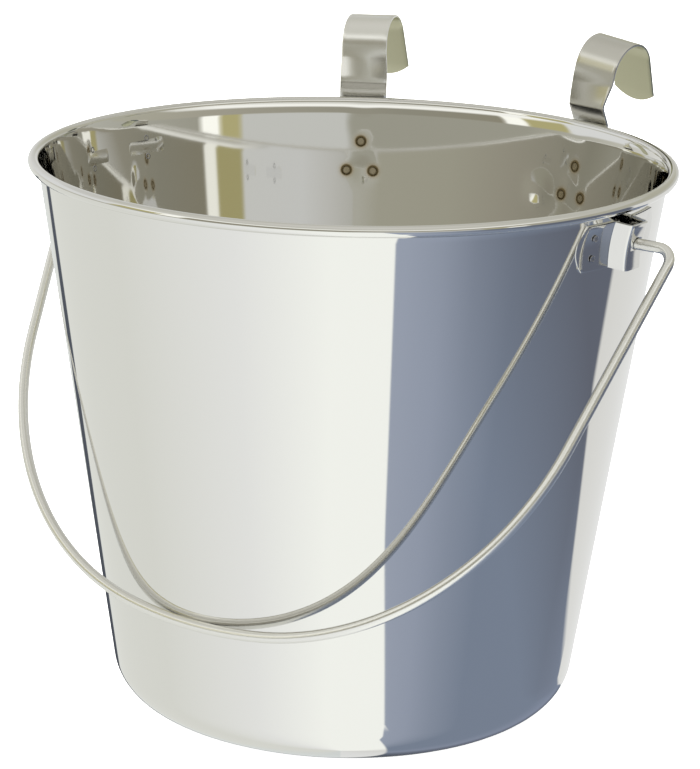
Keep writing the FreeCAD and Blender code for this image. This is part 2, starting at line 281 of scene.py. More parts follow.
heat_tint.links.new(mix.outputs[2], outside.inputs["Color"])
heat_tint.links.new(strength, outside.inputs["Mask"])


def steel(name, colour, roughness, spread, stretch, bump, waviness=0.0, welds=(),
          weld_size=0.0024, spun=False):
    """A stainless steel material: buffing marks, slight waves in the sheet, and any heat tint.

    Spun steel has its marks round the Z axis, and turns over towards the bead inside its rim."""
    material = bpy.data.materials.new(name)
    material.use_nodes = True
    tree = material.node_tree
    shader = tree.nodes["Principled BSDF"]
    shader.inputs["Metallic"].default_value = 1.0
    shader.inputs["Base Color"].default_value = (*colour, 1)
    position = tree.nodes.new("ShaderNodeTexCoord").outputs["Object"]
    vector = position
    if spun:
        parts = tree.nodes.new("ShaderNodeSeparateXYZ")
        tree.links.new(position, parts.inputs[0])
        joined = tree.nodes.new("ShaderNodeCombineXYZ")
        square = maths(tree, "ADD", maths(tree, "MULTIPLY", parts.outputs["X"], parts.outputs["X"]),
                       maths(tree, "MULTIPLY", parts.outputs["Y"], parts.outputs["Y"]))
        from_axis = maths(tree, "SQRT", square)
        angle = maths(tree, "ARCTAN2", parts.outputs["Y"], parts.outputs["X"])
        tree.links.new(from_axis, joined.inputs["X"])
        tree.links.new(angle, joined.inputs["Y"])
        tree.links.new(parts.outputs["Z"], joined.inputs["Z"])
        vector = joined.outputs[0]
    marks = tree.nodes.new("ShaderNodeGroup")
    marks.node_tree = buffing
    marks.inputs["Stretch"].default_value = stretch
    marks.inputs["Roughness"].default_value = roughness
    marks.inputs["Spread"].default_value = spread
    tree.links.new(vector, marks.inputs["Vector"])
    rough = marks.outputs["Roughness"]
    fine = tree.nodes.new("ShaderNodeBump")
    fine.inputs["Strength"].default_value = 1.0
    fine.inputs["Distance"].default_value = bump
    tree.links.new(marks.outputs["Height"], fine.inputs["Height"])
    normal = fine.outputs["Normal"]
    if waviness:
        waves = tree.nodes.new("ShaderNodeTexNoise")
        waves.inputs["Scale"].default_value = 22.0
        waves.inputs["Detail"].default_value = 1.0
        tree.links.new(position, waves.inputs["Vector"])
        broad = tree.nodes.new("ShaderNodeBump")
        broad.inputs["Strength"].default_value = 1.0
        broad.inputs["Distance"].default_value = waviness
        tree.links.new(waves.outputs["Fac"], broad.inputs["Height"])
        tree.links.new(normal, broad.inputs["Normal"])
        normal = broad.outputs["Normal"]
    if spun:
        # Inside, at the back, the last few millimetres of the wall already turn over to the bead
        run_in = maths(tree, "SUBTRACT", parts.outputs["Z"], rim_height - roll_height)
        run_in = maths(tree, "DIVIDE", maths(tree, "MAXIMUM", run_in, 0.0), roll_height)
        run_in = maths(tree, "MINIMUM", run_in, 1.0)
        wall_line = maths(tree, "MULTIPLY", parts.outputs["Z"], math.tan(taper))
        wall_middle = maths(tree, "ADD", wall_line, base_radius - sheet / 2)
        inwards = maths(tree, "SUBTRACT", wall_middle, from_axis)
        towards_back = maths(tree, "ADD", parts.outputs["Y"], -roll_fade_start)
        towards_back = maths(tree, "DIVIDE", towards_back, roll_fade_length)
        towards_back = maths(tree, "MAXIMUM", maths(tree, "MINIMUM", towards_back, 1.0), 0.0)
        mask = maths(tree, "MULTIPLY", maths(tree, "GREATER_THAN", inwards, 0.0), towards_back)
        height = maths(tree, "MULTIPLY", maths(tree, "MULTIPLY", run_in, run_in), -0.5)
        roll = tree.nodes.new("ShaderNodeBump")
        roll.inputs["Strength"].default_value = 1.0
        roll.inputs["Distance"].default_value = roll_height * roll_slope
        tree.links.new(maths(tree, "MULTIPLY", height, mask), roll.inputs["Height"])
        tree.links.new(normal, roll.inputs["Normal"])
        normal = roll.outputs["Normal"]
    tree.links.new(normal, shader.inputs["Normal"])
    if welds:
        nearest = None
        for weld in welds:
            gap = tree.nodes.new("ShaderNodeVectorMath")
            gap.operation = "DISTANCE"
            tree.links.new(position, gap.inputs[0])
            gap.inputs[1].default_value = weld
            distance = gap.outputs["Value"]
            nearest = distance if nearest is None else maths(tree, "MINIMUM", nearest, distance)
        tinted = tree.nodes.new("ShaderNodeGroup")
        tinted.node_tree = heat_tint
        tinted.inputs["Size"].default_value = weld_size
        tinted.inputs["Steel"].default_value = (*colour, 1)
        tree.links.new(nearest, tinted.inputs["Distance"])
        tree.links.new(tinted.outputs["Color"], shader.inputs["Base Color"])
        rough = maths(tree, "ADD", rough, maths(tree, "MULTIPLY", tinted.outputs["Mask"], 0.22))
    tree.links.new(rough, shader.inputs["Roughness"])
    return material


polished = steel("mirror_polished_stainless", (0.80, 0.795, 0.775), roughness=0.035, spread=0.03,
                 stretch=(30, 2.5, 700), bump=4e-7, waviness=4e-6, spun=True,
                 welds=[spot for spots in hook_weld_spots.values() for spot in spots])
shell.data.materials.append(polished)
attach(shell, "bucket")
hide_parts("bucket_body")


# ---- The hooks -------------------------------------------------------------------------------
# Two flat strips of 1.2 mm stainless, sheared to rounded ends, spot-welded to the back wall,
# stepped round the rim bead, twisted a little towards each other and rolled over to a curl.
strap_width = 0.024
strap_sheet = 0.0012
strap_end_rise = 0.0048
hook_foot_drop = 0.044
hook_step_low, hook_step_high = -0.0085, 0.010
hook_step_out = 0.0054
hook_step_half_height = 0.0024
hook_upright_out = 0.0016
hook_twist_height = 0.012
hook_curl_start = 0.029
hook_curl_radius = 0.0152
hook_curl_sweep = math.radians(150)
hook_tip_length = 0.026
hook_bend_radius = 0.002
hook_twist_steps = 8
hook_curl_steps = 36
bend_steps = 6
strip_divisions = 12
end_run = 0.002


def sheared_end(name, width, along, towards, rise):
    """Starts a strip with its sheared end: a row of vertices bowed by rise, all selected."""
    bpy.ops.object.select_all(action="DESELECT")
    bpy.ops.mesh.primitive_grid_add(x_subdivisions=strip_divisions, y_subdivisions=1, size=width)
    piece = new_piece(name)
    choose(piece, lambda co: co.y > 0)
    bpy.ops.mesh.delete(type="VERT")
    choose(piece, lambda co: True)
    bpy.ops.transform.translate(value=(0, width / 2, 0))
    choose(piece, lambda co: abs(co.x) < 1e-5)
    bpy.ops.transform.translate(value=(0, -rise, 0), use_proportional_edit=True,
                                proportional_edit_falloff="INVERSE_SQUARE", proportional_size=width / 2)
    bpy.ops.object.mode_set(mode="OBJECT")
    across = Vector(along).cross(Vector(towards))
    piece.matrix_world = Matrix((along, towards, across)).transposed().to_4x4()
    bpy.ops.object.transform_apply(location=True, rotation=True, scale=True)
    bpy.ops.object.mode_set(mode="EDIT")
    bpy.ops.mesh.select_all(action="SELECT")
    return piece


def push_row(value):
    bpy.ops.mesh.extrude_edges_move(TRANSFORM_OT_translate={"value": Vector(value)})


def straighten_row(towards, level):
    """Flattens the selected row to one line square to the strip's direction."""
    scale = [0.0 if abs(part) > 0.5 else 1.0 for part in towards]
    bpy.ops.transform.resize(value=scale, center_override=Vector(towards) * level)


def follow(corners, bends, plane):
    """Draws the strip out through the corners, with a round bend at each that has a radius."""
    spot = Vector(corners[0])
    for i, corner in enumerate(corners[1:], 1):
        corner = Vector(corner)
        radius = bends[i] if i < len(corners) - 1 else 0.0
        if not radius:
            push_row(plane(*(corner - spot)))
            spot = corner
            continue
        before = (corner - Vector(corners[i - 1])).normalized()
        after = (Vector(corners[i + 1]) - corner).normalized()
        turn = math.atan2(before.x * after.y - before.y * after.x, before.dot(after))
        start = corner - before * radius * math.tan(abs(turn) / 2)
        if (start - spot).length > 1e-6:
            push_row(plane(*(start - spot)))
        side = Vector((-before.y, before.x)) * math.copysign(radius, turn)
        centre = start + side
        spot = start
        for step in range(1, bend_steps + 1):
            angle = turn * step / bend_steps
            arm = -side
            there = centre + Vector((arm.x * math.cos(angle) - arm.y * math.sin(angle),
                                     arm.x * math.sin(angle) + arm.y * math.cos(angle)))
            push_row(plane(*(there - spot)))
            spot = there


def bow_row(piece, middle_test, way, rise, reach):
    """Bows the selected last row out by rise, leaving the rest of the strip alone."""
    bpy.ops.mesh.hide(unselected=True)
    bpy.ops.mesh.select_all(action="DESELECT")
    choose(piece, middle_test)
    bpy.ops.transform.translate(value=Vector(way) * rise, use_proportional_edit=True,
                                proportional_edit_falloff="INVERSE_SQUARE", proportional_size=reach)
    bpy.ops.mesh.reveal(select=False)


def give_thickness(piece, thickness):
    """Turns a drawn-out surface into sheet of a thickness."""
    only(piece)
    solid = piece.modifiers.new("sheet", "SOLIDIFY")
    solid.thickness = thickness
    solid.offset = 0.0
    solid.use_even_offset = True
    bpy.ops.object.modifier_apply(modifier=solid.name)


def deburr(piece, width, segments=2):
    """Rounds the sheared edges a little and smooths the rest."""
    only(piece)
    bevel = piece.modifiers.new("deburred", "BEVEL")
    bevel.width = width
    bevel.segments = segments
    bevel.limit_method = "ANGLE"
    bevel.angle_limit = math.radians(55)
    bpy.ops.object.modifier_apply(modifier=bevel.name)
    bpy.ops.object.shade_smooth_by_angle(angle=math.radians(35))


def side_view(u, v):
    return Vector((0, u, v))


def make_hook(side):
    """Draws one hook out from its foot's end: over the bead, round the twist and the curl."""
    turn_degrees, foot_lean, curl_lean = hook_settings[side][1:]
    piece = sheared_end("hook_" + side + "_strap", strap_width, (1, 0, 0), (0, 0, 1),
                        strap_end_rise)
    middle = strap_sheet / 2
    shoulder = -hook_foot_drop + strap_end_rise
    bpy.ops.transform.translate(value=(0, middle, shoulder))
    push_row((0, 0, end_run))
    straighten_row((0, 0, 1), shoulder + end_run)
    twist_start = hook_step_high + end_run
    corners = [(middle, shoulder + end_run), (middle, hook_step_low),
               (hook_step_out + middle, -hook_step_half_height),
               (hook_step_out + middle, hook_step_half_height),
               (hook_upright_out, hook_step_high), (hook_upright_out, twist_start)]
    follow(corners, [0] + [hook_bend_radius] * 4 + [0], side_view)
    lean = math.radians(foot_lean - curl_lean)
    for _ in range(hook_twist_steps):
        push_row((0, 0, hook_twist_height / hook_twist_steps))
        bpy.ops.transform.rotate(value=math.radians(turn_degrees / hook_twist_steps),
                                 orient_axis="Z", center_override=(0, hook_upright_out, 0))
        bpy.ops.transform.rotate(value=lean / hook_twist_steps, orient_axis="Y",
                                 center_override=(0, 0, 0))
    bpy.ops.object.mode_set(mode="OBJECT")

    # The rest is drawn square to the axes, so the strip is turned back to them for a while
    axis = Matrix.Translation((0, hook_upright_out, 0))
    turn = (Matrix.Rotation(-lean, 4, "Y")
            @ axis @ Matrix.Rotation(math.radians(-turn_degrees), 4, "Z") @ axis.inverted())
    settle(piece, turn.inverted())
    bpy.ops.object.mode_set(mode="EDIT")
    twist_end = twist_start + hook_twist_height
    bpy.ops.transform.resize(value=(1, 0, 0), center_override=(0, hook_upright_out, twist_end))
    push_row((0, 0, hook_curl_start - twist_end))
    spot = Vector((-hook_curl_radius, 0))
    for i in range(1, hook_curl_steps + 1):
        angle = hook_curl_sweep * i / hook_curl_steps
        there = Vector((-hook_curl_radius * math.cos(angle), hook_curl_radius * math.sin(angle)))
        push_row(side_view(*(there - spot)))
        spot = there
    heading = Vector((math.sin(angle), math.cos(angle)))
    push_row(side_view(*(heading * (hook_tip_length - strap_end_rise - end_run))))
    push_row(side_view(*(heading * end_run)))
    middle_reach = strap_width / 30
    tip_top = hook_curl_start - 0.010
    bow_row(piece, lambda co: abs(co.x) < middle_reach
            and co.y > hook_upright_out + hook_curl_radius and co.z < tip_top,
            side_view(*heading), strap_end_rise, strap_width / 2)
    bpy.ops.object.mode_set(mode="OBJECT")
    settle(piece, turn)
    give_thickness(piece, strap_sheet)
    deburr(piece, 0.0003)
    settle(piece, hook_frames[side])
    return piece


def shade_curl_inside(material, place, colour):
    """Paints a darker olive shade on the faces of the curl's far half that turn back towards the wall.
    """
    tree = material.node_tree
    texture = tree.nodes.new("ShaderNodeTexCoord")
    out = (place.to_3x3() @ Vector((0, 1, 0))).normalized()
    reached = []
    for source, start, end in (("Object", 0.6, 1.1), ("Normal", 0.15, -0.15)):
        along = tree.nodes.new("ShaderNodeVectorMath")
        along.operation = "DOT_PRODUCT"
        along.inputs[1].default_value = out
        tree.links.new(texture.outputs[source], along.inputs[0])
        share = tree.nodes.new("ShaderNodeMapRange")
        if source == "Object":
            base = place.to_translation().dot(out) + hook_upright_out
            start, end = base + start * hook_curl_radius, base + end * hook_curl_radius
        share.inputs["From Min"].default_value = start
        share.inputs["From Max"].default_value = end
        tree.links.new(along.outputs["Value"], share.inputs["Value"])
        reached.append(share.outputs["Result"])
    shader = tree.nodes["Principled BSDF"]
    # The painted shade is mixed into the strap's base colour
    mix = tree.nodes.new("ShaderNodeMix")
    mix.data_type = "RGBA"
    tree.links.new(maths(tree, "MULTIPLY", *reached), mix.inputs[0])
    mix.inputs[6].default_value = shader.inputs["Base Color"].default_value
    mix.inputs[7].default_value = (*colour, 1)
    tree.links.new(mix.outputs[2], shader.inputs["Base Color"])


strap_colours = {"left": (0.86, 0.855, 0.83), "right": (0.70, 0.69, 0.655)}
# A darker olive painted as shade on the inside of each hook's curl, not a tint of the steel
curl_painted_shade_colour = (0.50, 0.49, 0.35)
strip_stretch = (160, 160, 40)
ear_steel = steel("polished_ear_steel", (0.76, 0.755, 0.74), roughness=0.09, spread=0.05,
                  stretch=strip_stretch, bump=2e-7)
for side in hook_settings:
    hook = make_hook(side)
    strap_steel = steel("polished_strap_steel_" + side, strap_colours[side], roughness=0.25,
                        spread=0.08, stretch=strip_stretch, bump=2e-7)
    turned_back = Matrix.Rotation(math.radians(-hook_settings[side][1]), 4, "Z")
    # Painted shade on the faces of the curl that turn back towards the wall
    shade_curl_inside(strap_steel, hook_frames[side] @ turned_back, curl_painted_shade_colour)
    hook.data.materials.append(strap_steel)
    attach(hook, "bucket")
    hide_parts("hook_" + side)


# ---- The ears --------------------------------------------------------------------------------
# Two hat-shaped strips of 1.2 mm stainless spot-welded to the wall under the bead: a box that
# stands out from the wall with a hole for the bail, between two flanges bent to the wall's curve.
ear_sheet = 0.0012
ear_height = 0.021
ear_stand_off = 0.0093
ear_face_half_width = 0.006
ear_foot_half_width = 0.0078
ear_bend_radius = 0.0018
ear_flange_reach = 0.031
ear_end_rise = 0.0045
ear_hole_radius = 0.0029
pivot_height = rim_height - 0.0165


def top_view(u, v):
    return Vector((u, v, 0))


def wall_gap(x):
    """How far the round wall falls away from its tangent at x."""
    radius = (base_radius + math.tan(taper) * pivot_height) / math.cos(taper)
    return radius - math.sqrt(radius * radius - x * x)


ear_run = 0.0015
ear_flange_spots = 8
pivot_wall = base_radius + math.tan(taper) * pivot_height


def make_ear(side, way):
    """Draws one ear from flange to flange, over the box between them, and punches its hole."""
    piece = sheared_end("ear_" + side + "_strip", ear_height, (0, 0, -1), (1, 0, 0), ear_end_rise)
    middle = ear_sheet / 2
    shoulder = ear_flange_reach - ear_end_rise
    bpy.ops.transform.translate(value=(-shoulder, middle - wall_gap(shoulder), 0))
    choose(piece, lambda co: co.x < -shoulder - 1e-5)
    lean = (wall_gap(ear_flange_reach) - wall_gap(shoulder)) / ear_end_rise
    bpy.ops.transform.rotate(value=math.atan(-lean), orient_axis="Z",
                             center_override=(-shoulder, middle - wall_gap(shoulder), 0))
    bpy.ops.mesh.select_all(action="SELECT")
    first = shoulder - ear_run
    push_row((ear_run, wall_gap(shoulder) - wall_gap(first), 0))
    straighten_row((1, 0, 0), -first)
    flange = [first - i * (first - ear_foot_half_width - ear_run) / (ear_flange_spots - 1)
              for i in range(ear_flange_spots)]
    left = [(-x, middle - wall_gap(x)) for x in flange]
    left += [(-ear_foot_half_width, middle - wall_gap(ear_foot_half_width)),
             (-ear_face_half_width, ear_stand_off - middle)]
    corners = left + [(-x, y) for x, y in reversed(left)]
    foot_bend = ear_bend_radius * 0.6
    box_bends = [foot_bend, ear_bend_radius, ear_bend_radius, foot_bend]
    follow(corners, [0] * ear_flange_spots + box_bends + [0] * ear_flange_spots, top_view)
    push_row((ear_run, wall_gap(first) - wall_gap(shoulder), 0))
    bow_row(piece, lambda co: abs(co.z) < 1e-5 and co.x > shoulder - 1e-5, (1, -lean, 0),
            ear_end_rise, ear_height / 2)
    bpy.ops.object.mode_set(mode="OBJECT")
    give_thickness(piece, ear_sheet)
    settle(piece, wall_frame(90 * way, pivot_height))
    bpy.ops.object.select_all(action="DESELECT")
    bpy.ops.mesh.primitive_cylinder_add(vertices=48, radius=ear_hole_radius, depth=0.03,
                                        location=(way * (pivot_wall + 0.017), 0, pivot_height),
                                        rotation=(0, math.pi / 2, 0))
    punch = bpy.context.object
    only(piece)
    hole = piece.modifiers.new("hole", "BOOLEAN")
    hole.object = punch
    hole.operation = "DIFFERENCE"
    bpy.ops.object.modifier_apply(modifier=hole.name)
    bpy.data.objects.remove(punch)
    deburr(piece, 0.00025)
    return piece


for side, way in (("left", -1), ("right", 1)):
    ear = make_ear(side, way)
    ear.data.materials.append(ear_steel)
    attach(ear, "bucket")
    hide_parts("ear_" + side)


# ---- The spot welds --------------------------------------------------------------------------
# Three electrode marks under each hook and four under each ear: shallow craters with a raised
# ring, fused and oxidised, on the strip outside and opposite on the wall inside.
hook_weld_radius = 0.0024
ear_weld_radius = 0.0014
ear_weld_reach = 0.0205
ear_weld_rise = 0.0046
hook_weld_sink = 0.00005
ear_weld_sink = 0.00003
# Each ring of a crater, as shares of its radius: how far in from the last one, and how far out
crater_rings = ((0.10, 0.05), (0.12, 0.04), (0.14, -0.04), (0.16, -0.07), (0.20, -0.02))


def make_crater(name, radius):
    """One electrode mark, in its own axes: y is square out of the surface."""
    bpy.ops.object.select_all(action="DESELECT")
    bpy.ops.mesh.primitive_circle_add(vertices=28, radius=radius * 1.12, fill_type="NGON",
                                      rotation=(-math.pi / 2, 0, 0))
    piece = new_piece(name)
    bpy.ops.object.mode_set(mode="OBJECT")
    bpy.ops.object.transform_apply(location=True, rotation=True, scale=True)
    bpy.ops.object.mode_set(mode="EDIT")
    bpy.ops.mesh.select_all(action="SELECT")
    for inset, lift in crater_rings:
        bpy.ops.mesh.inset(thickness=radius * inset)
        bpy.ops.transform.translate(value=(0, radius * lift, 0))
    choose(piece, lambda co: co.x ** 2 + co.z ** 2 > (radius * 1.1) ** 2)
    bpy.ops.mesh.extrude_edges_move(TRANSFORM_OT_translate={"value": (0, -0.0003, 0)})
    bpy.ops.mesh.edge_face_add()
    close_up(piece)
    only(piece)
    bpy.ops.object.shade_smooth_by_angle(angle=math.radians(50))
    return piece


def weld_group(name, spots, radius, node, metal):
    """Copies of one crater at each place, joined to one piece that stands for the CAD's nuggets."""
    first = make_crater(name, radius)
    copies = []
    for place in spots:
        copy = first.copy()
        copy.data = first.data.copy()
        copy.matrix_world = place
        bpy.context.scene.collection.objects.link(copy)
        copies.append(copy)
    bpy.data.objects.remove(first)
    bpy.ops.object.select_all(action="DESELECT")
    for copy in copies:
        copy.select_set(True)
    bpy.context.view_layer.objects.active = copies[0]
    bpy.ops.object.join()
    group = bpy.context.object
    group.name = name
    bpy.ops.object.transform_apply(location=True, rotation=True, scale=True)
    group.data.materials.append(metal)
    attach(group, "bucket")
    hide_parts(node)


facing_in = Matrix.Rotation(math.pi, 4, "Z")
grain = (900, 900, 900)
ear_frames = {}
for side, way in (("left", -1), ("right", 1)):
    ear_frames[side] = []
    for turn_way in (1, -1):
        offset = math.degrees(turn_way * ear_weld_reach / pivot_wall)
        for rise in (-ear_weld_rise, ear_weld_rise):
            place = wall_frame(90 * way + offset, pivot_height)
            ear_frames[side].append(place @ Matrix.Translation((0, 0, rise)))

for side in hook_settings:
    inner, outer = [], []
    for x, z in hook_weld_places:
        depth = -sheet - rim_gap(x) - hook_weld_sink
        inner.append(hook_frames[side] @ Matrix.Translation((x, depth, z))
                     @ Matrix.Rotation(-x / rim_radius, 4, "Z") @ facing_in)
        outer.append(hook_frames[side] @ Matrix.Translation((x, strap_sheet - hook_weld_sink, z)))
    metal = steel("hook_" + side + "_weld_metal", (0.66, 0.64, 0.60), roughness=0.30, spread=0.15,
                  stretch=grain, bump=6e-6, weld_size=hook_weld_radius,
                  welds=[place.to_translation() for place in inner + outer])
    weld_group("hook_" + side + "_weld_marks", inner + outer, hook_weld_radius,
               "hook_" + side + "_welds", metal)
    inner = [place @ Matrix.Translation((0, -sheet - ear_weld_sink, 0)) @ facing_in
             for place in ear_frames[side]]
    outer = [place @ Matrix.Translation((0, ear_sheet - ear_weld_sink, 0))
             for place in ear_frames[side]]
    metal = steel("ear_" + side + "_weld_metal", (0.42, 0.42, 0.44), roughness=0.34, spread=0.15,
                  stretch=grain, bump=3e-6)
    weld_group("ear_" + side + "_weld_marks", inner + outer, ear_weld_radius,
               "ear_" + side + "_welds", metal)


# ---- The bail --------------------------------------------------------------------------------
# The carrying handle: one 5 mm drawn stainless wire bent to a bow, its ends turned in through the
# ears and upset to heads inside them. It hangs forwards and rests on the front wall.
wire_radius = 0.0025
bail_top_half_width = 0.170
bail_leg_lean = math.radians(10)
bail_depth = 0.2145
bail_bottom_radius = 0.230
bail_side_radius = 0.140
bail_end_bend_radius = 0.007
bail_head_radius = 0.0044
bail_head_half_gap = 0.1466
bail_sideways = 0.002
bail_wall_gap = 0.0003
bail_head_face_radius = bail_head_radius - 0.0007
bail_head_edge_radius = bail_head_radius - 0.0003
bail_head_start = 0.0001
# The rest of the head, from its face out to the wire: each step's length and the radius after it
bail_head_steps = ((0.0002, bail_head_edge_radius), (0.0004, bail_head_radius),
                   (0.0010, bail_head_radius), (0.0004, bail_head_edge_radius),
                   (0.0002, bail_head_face_radius), (0.0001, wire_radius + 0.0004),
                   (0.0004, wire_radius))

bottom_centre = Vector((0, 0, bail_bottom_radius - bail_depth))
reach = bail_bottom_radius - bail_side_radius
leg_line = bail_top_half_width * math.cos(bail_leg_lean) - bail_side_radius
spread = math.asin((leg_line + bottom_centre.z * math.sin(bail_leg_lean)) / reach) - bail_leg_lean
side_centre = bottom_centre + Vector((math.sin(spread), 0, -math.cos(spread))) * reach
bend_centre = Vector((bail_top_half_width - bail_end_bend_radius * math.tan(bail_leg_lean)
                      - bail_end_bend_radius / math.cos(bail_leg_lean), 0, -bail_end_bend_radius))

bpy.ops.object.select_all(action="DESELECT")
bpy.ops.mesh.primitive_circle_add(vertices=32, radius=bail_head_face_radius, fill_type="NGON",
                                  location=(bail_head_half_gap, 0, 0), rotation=(0, math.pi / 2, 0))
bail = new_piece("bail_wire")
bpy.ops.object.mode_set(mode="OBJECT")
bpy.ops.object.transform_apply(location=True, rotation=True, scale=True)
bpy.ops.object.mode_set(mode="EDIT")
choose(bail, lambda co: True)
bpy.ops.mesh.extrude_region_move(TRANSFORM_OT_translate={"value": (bail_head_start, 0, 0)})
level = bail_head_half_gap + bail_head_start
size = bail_head_face_radius
for run, radius in bail_head_steps:
    bpy.ops.mesh.extrude_region_move(TRANSFORM_OT_translate={"value": (run, 0, 0)})
    level += run
    bpy.ops.transform.resize(value=(1, radius / size, radius / size), center_override=(level, 0, 0))
    size = radius
choose(bail, lambda co: co.x > level - 1e-6)
bpy.ops.mesh.extrude_region_move(TRANSFORM_OT_translate={"value": (bend_centre.x - level, 0, 0)})
bpy.ops.mesh.delete(type="ONLY_FACE")
choose(bail, lambda co: co.x > bend_centre.x - 1e-6)
bpy.ops.mesh.spin(steps=14, angle=-(math.pi / 2 + bail_leg_lean), center=bend_centre,
                  axis=(0, 1, 0))
leg_outwards = Vector((math.cos(bail_leg_lean), 0, -math.sin(bail_leg_lean)))
leg_top = bend_centre + leg_outwards * bail_end_bend_radius
arc_start = side_centre + leg_outwards * bail_side_radius
bpy.ops.mesh.extrude_edges_move(TRANSFORM_OT_translate={"value": arc_start - leg_top})
bpy.ops.mesh.spin(steps=56, angle=-(math.pi / 2 - bail_leg_lean - spread), center=side_centre,
                  axis=(0, 1, 0))
bpy.ops.mesh.spin(steps=24, angle=-spread, center=bottom_centre, axis=(0, 1, 0))
close_up(bail)
only(bail)
other_half = bail.modifiers.new("other_half", "MIRROR")
other_half.use_axis = (True, False, False)
other_half.merge_threshold = 1e-5
bpy.ops.object.modifier_apply(modifier=other_half.name)
bpy.ops.object.mode_set(mode="EDIT")
close_up(bail)
only(bail)
bpy.ops.object.shade_smooth_by_angle(angle=math.radians(40))
rest_tilt = math.asin((pivot_wall * math.cos(taper) + wire_radius + bail_wall_gap)
                      / bail_depth) - taper
hung = Matrix.Rotation(-rest_tilt, 4, "X")
settle(bail, Matrix.Translation((bail_sideways, 0, pivot_height)) @ hung)
wire_steel = steel("drawn_wire_steel", (0.86, 0.855, 0.83), roughness=0.26, spread=0.03,
                   stretch=(120, 120, 120), bump=5e-8)
bail.data.materials.append(wire_steel)
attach(bail, "bail")
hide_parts("bail_handle")


# ---- The studio ------------------------------------------------------------------------------
# A pale table under soft light, with walls of pale and dark card further off that show only as
# reflections in the polished steel, the way a catalogue studio sets off a mirror finish.
camera_azimuth = math.radians(35.5)
camera_elevation = math.radians(16.184)
camera_roll = math.radians(1.3)
camera_distance = 1.3289

world = bpy.data.worlds.new("studio")
bpy.context.scene.world = world
world.use_nodes = True
tree = world.node_tree
tree.nodes.clear()
coordinates = tree.nodes.new("ShaderNodeTexCoord")
turned = tree.nodes.new("ShaderNodeMapping")
turned.inputs["Rotation"].default_value = (0, 0, -camera_azimuth)
tree.links.new(coordinates.outputs["Generated"], turned.inputs["Vector"])
parts = tree.nodes.new("ShaderNodeSeparateXYZ")
tree.links.new(turned.outputs["Vector"], parts.inputs[0])
nearness = maths(tree, "MULTIPLY", parts.outputs["Y"], -1.0)
bearing = maths(tree, "ARCTAN2", parts.outputs["X"], nearness)
bearing = maths(tree, "ADD", maths(tree, "DIVIDE", bearing, 2 * math.pi), 0.5)


def cards(stops):
    """A ring of cards: (degrees to the right of the camera's side, colour), from -180 to 180."""
    return ramp(tree, bearing, [(degrees / 360 + 0.5, colour) for degrees, colour in stops])


pale, warm, cool = (0.80, 0.81, 0.765), (1.08, 1.10, 1.06), (0.74, 0.78, 0.78)
blue, deep, charcoal = (0.375, 0.42, 0.525), (0.22, 0.265, 0.355), (0.045, 0.05, 0.06)
olive, dark_olive = (0.385, 0.378, 0.315), (0.31, 0.29, 0.22)
light_grey, yellow, white = (0.635, 0.64, 0.61), (0.50, 0.46, 0.23), (1.2, 1.2, 1.12)
pale_ring = cards([(-180, cool), (-150, pale), (-100, pale), (-45, (0.92, 0.93, 0.92)),
                   (-8, warm), (60, warm), (120, (0.80, 0.80, 0.78)), (180, (0.86, 0.87, 0.87))])
dim, grey = (0.14, 0.155, 0.20), (0.72, 0.72, 0.70)
dark_ring = cards([(-180, charcoal), (0, blue), (20, blue), (35, (0.34, 0.385, 0.49)),
                   (48, (0.28, 0.325, 0.42)), (65, deep), (120, deep),
                   (150, (0.26, 0.30, 0.40)), (180, charcoal)])
far_dark_ring = cards([(-180, charcoal), (0, blue), (20, blue), (32, (0.30, 0.34, 0.42)),
                       (48, (0.19, 0.215, 0.275)), (75, dim), (120, dim), (150, deep),
                       (180, charcoal)])
low_ring = cards([(-180, grey), (-150, (0.78, 0.78, 0.75)), (-120, (0.6, 0.59, 0.52)),
                  (-70, olive), (-2, olive), (3, light_grey), (44, light_grey), (45.5, yellow),
                  (53, yellow), (54.5, white), (61, white), (62.5, olive),
                  (160, (0.6, 0.6, 0.55)), (180, grey)])
mid_ring = cards([(-180, (0.62, 0.62, 0.58)), (-162, grey), (-140, (0.81, 0.82, 0.82)),
                  (-94, (0.81, 0.82, 0.81)), (-91, yellow), (-72, yellow), (-70, white),
                  (-62, white), (-60, dark_olive), (-20, (0.32, 0.31, 0.25)),
                  (54, (0.42, 0.40, 0.33)), (104, (0.48, 0.47, 0.385)),
                  (160, (0.50, 0.49, 0.405)), (176, (0.58, 0.575, 0.51))])
bright_ring = cards([(-180, (0.62, 0.62, 0.59)), (-110, (0.7, 0.7, 0.67)),
                     (-80, (1.1, 1.1, 1.05)), (60, (1.1, 1.1, 1.05)),
                     (100, (0.60, 0.59, 0.53)), (180, (0.58, 0.58, 0.54))])
high_ring = cards([(-180, (0.56, 0.555, 0.50)), (-90, (0.66, 0.655, 0.60)),
                   (0, (0.60, 0.595, 0.54)), (90, (0.60, 0.59, 0.53)),
                   (180, (0.56, 0.555, 0.50))])
zenith = cards([(-180, (0.66, 0.65, 0.60)), (0, (0.70, 0.69, 0.65)), (180, (0.66, 0.65, 0.60))])


def beyond(right_share, near_share, down_share, softness):
    """1 on one side of a straight edge on the table far below, 0 on the other."""
    total = maths(tree, "MULTIPLY", parts.outputs["X"], right_share)
    total = maths(tree, "ADD", total, maths(tree, "MULTIPLY", parts.outputs["Y"], -near_share))
    total = maths(tree, "ADD", total, maths(tree, "MULTIPLY", parts.outputs["Z"], -down_share))
    node = tree.nodes.new("ShaderNodeMapRange")
    node.inputs["From Min"].default_value = -softness
    node.inputs["From Max"].default_value = softness
    tree.links.new(total, node.inputs["Value"])
    return node.outputs["Result"]


def above(level, softness):
    """1 above a height on the ring of directions, 0 below it, in degrees."""
    node = tree.nodes.new("ShaderNodeMapRange")
    node.inputs["From Min"].default_value = math.sin(math.radians(level - softness))
    node.inputs["From Max"].default_value = math.sin(math.radians(level + softness))
    tree.links.new(parts.outputs["Z"], node.inputs["Value"])
    return node.outputs["Result"]


